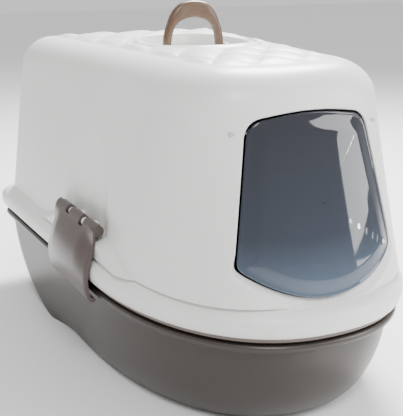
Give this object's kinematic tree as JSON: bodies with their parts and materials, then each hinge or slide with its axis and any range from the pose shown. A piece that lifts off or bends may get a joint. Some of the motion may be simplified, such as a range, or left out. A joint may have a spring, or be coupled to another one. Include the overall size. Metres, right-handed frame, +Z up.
{
  "type": "cat litter box with hood",
  "caption": "Hooded cat litter box: egg-shaped base tray, hanging sieve tray, lift-off hood with swinging see-through flap, folding handle and two side clips.",
  "frame": {"origin": "on the floor, under the middle of the box's length and width", "axes": "+Z up, the door faces -Y, the length runs along Y and the width along X"},
  "size_m": [0.3582, 0.59, 0.3962],
  "materials": {
    "tub": "satin moulded polypropylene, warm grey",
    "taupe": "satin moulded polypropylene, taupe",
    "hood_white": "fine-textured moulded polypropylene, off-white",
    "smoke": "clear smoke-tinted polystyrene, polished",
    "clear": "clear moulded plastic",
    "bronze": "satin bronze-brown plastic",
    "clip_taupe": "satin moulded polypropylene, taupe"
  },
  "bodies": {
    "base": {"base_tray": "tub"},
    "sieve": {"sieve_tray": "taupe"},
    "hood": {"hood": "hood_white", "flap_pin_left": "clear", "flap_pin_right": "clear", "handle_pin_left": "bronze", "handle_pin_right": "bronze", "clip_pin_left": "clip_taupe", "clip_pin_right": "clip_taupe"},
    "flap": {"door_flap": "smoke"},
    "handle": {"handle": "bronze"},
    "clip_left": {"side_clip_left": "clip_taupe"},
    "clip_right": {"side_clip_right": "clip_taupe"}
  },
  "joints": [
    {"name": "sieve_lift", "type": "slide", "parent": "base", "child": "sieve", "axis": [0, 0, 1], "range_m": [0, 0.15]},
    {"name": "hood_lift", "type": "slide", "parent": "sieve", "child": "hood", "axis": [0, 0, 1], "range_m": [0, 0.3]},
    {"name": "flap_swing", "type": "hinge", "parent": "hood", "child": "flap", "pos_m": [0, -0.22051, 0.291], "axis": [1, 0, 0], "range_deg": [-45, 75]},
    {"name": "handle_fold", "type": "hinge", "parent": "hood", "child": "handle", "pos_m": [0, 0.0127, 0.341], "axis": [1, 0, 0], "range_deg": [-86, 86]},
    {"name": "clip_left_swing", "type": "hinge", "parent": "hood", "child": "clip_left", "pos_m": [-0.15475, -0.0175, 0.168], "axis": [0, 1, 0], "range_deg": [0, 65]},
    {"name": "clip_right_swing", "type": "hinge", "parent": "hood", "child": "clip_right", "pos_m": [0.15475, -0.0175, 0.168], "axis": [0, -1, 0], "range_deg": [0, 65]}
  ]
}
